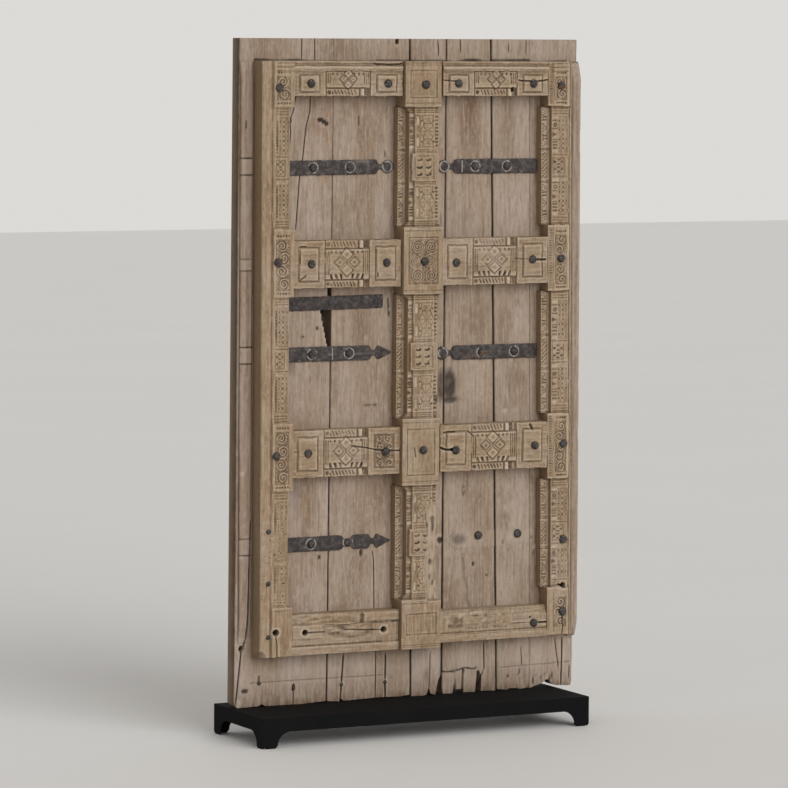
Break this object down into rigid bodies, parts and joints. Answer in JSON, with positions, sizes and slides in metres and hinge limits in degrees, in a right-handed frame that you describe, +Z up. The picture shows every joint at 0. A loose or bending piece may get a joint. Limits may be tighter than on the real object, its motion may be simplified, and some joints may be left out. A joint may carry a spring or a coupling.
{
  "type": "carved door",
  "caption": "Old carved wooden door with plank leaves, a nailed carved frame and iron straps, standing upright on a low black metal stand.",
  "frame": {"origin": "on the floor at the centre of the overall width and of the stand's depth", "axes": "+Z up, +X to the viewer's right along the face of the door, the carved face looks towards -Y"},
  "size_m": [1.169, 0.344, 2.09],
  "materials": {
    "plank_wood": "pale weathered planks, dry, split and worn",
    "carved_wood": "worn warm brown carved wood, dark in its hollows and paler on the raised edges",
    "strap_iron": "dark pitted wrought iron with some rust",
    "stud_iron": "dark hammered iron",
    "stand_paint": "matt black paint",
    "screw_steel": "plain steel"
  },
  "bodies": {
    "root": {"left_outer_plank": "plank_wood", "left_middle_plank": "plank_wood", "left_meeting_plank": "plank_wood", "right_meeting_plank": "plank_wood", "right_inner_plank": "plank_wood", "right_outer_plank": "plank_wood", "left_edge_moulding": "carved_wood", "right_edge_moulding": "carved_wood", "left_stile": "carved_wood", "right_stile": "carved_wood", "centre_post": "carved_wood", "left_top_rail": "carved_wood", "left_upper_rail": "carved_wood", "left_lower_rail": "carved_wood", "left_bottom_rail": "carved_wood", "right_top_rail": "carved_wood", "right_upper_rail": "carved_wood", "right_lower_rail": "carved_wood", "right_bottom_rail": "carved_wood", "left_upper_inner_strip": "carved_wood", "left_middle_inner_strip": "carved_wood", "left_lower_inner_strip": "carved_wood", "right_upper_inner_strip": "carved_wood", "right_middle_inner_strip": "carved_wood", "right_lower_inner_strip": "carved_wood", "left_top_strap": "strap_iron", "left_middle_strap": "strap_iron", "left_bottom_strap": "strap_iron", "left_plain_strap": "strap_iron", "right_top_strap": "strap_iron", "right_middle_strap": "strap_iron", "left_frame_studs": "stud_iron", "right_frame_studs": "stud_iron", "centre_post_studs": "stud_iron", "left_strap_studs": "stud_iron", "right_strap_studs": "stud_iron", "plain_strap_nails": "stud_iron", "plank_foot_nails": "stud_iron", "stand_top_plate": "stand_paint", "stand_front_apron": "stand_paint", "stand_rear_apron": "stand_paint", "stand_left_end": "stand_paint", "stand_right_end": "stand_paint", "left_rear_upright": "stand_paint", "right_rear_upright": "stand_paint", "rear_upright_screws": "screw_steel"}
  },
  "joints": []
}
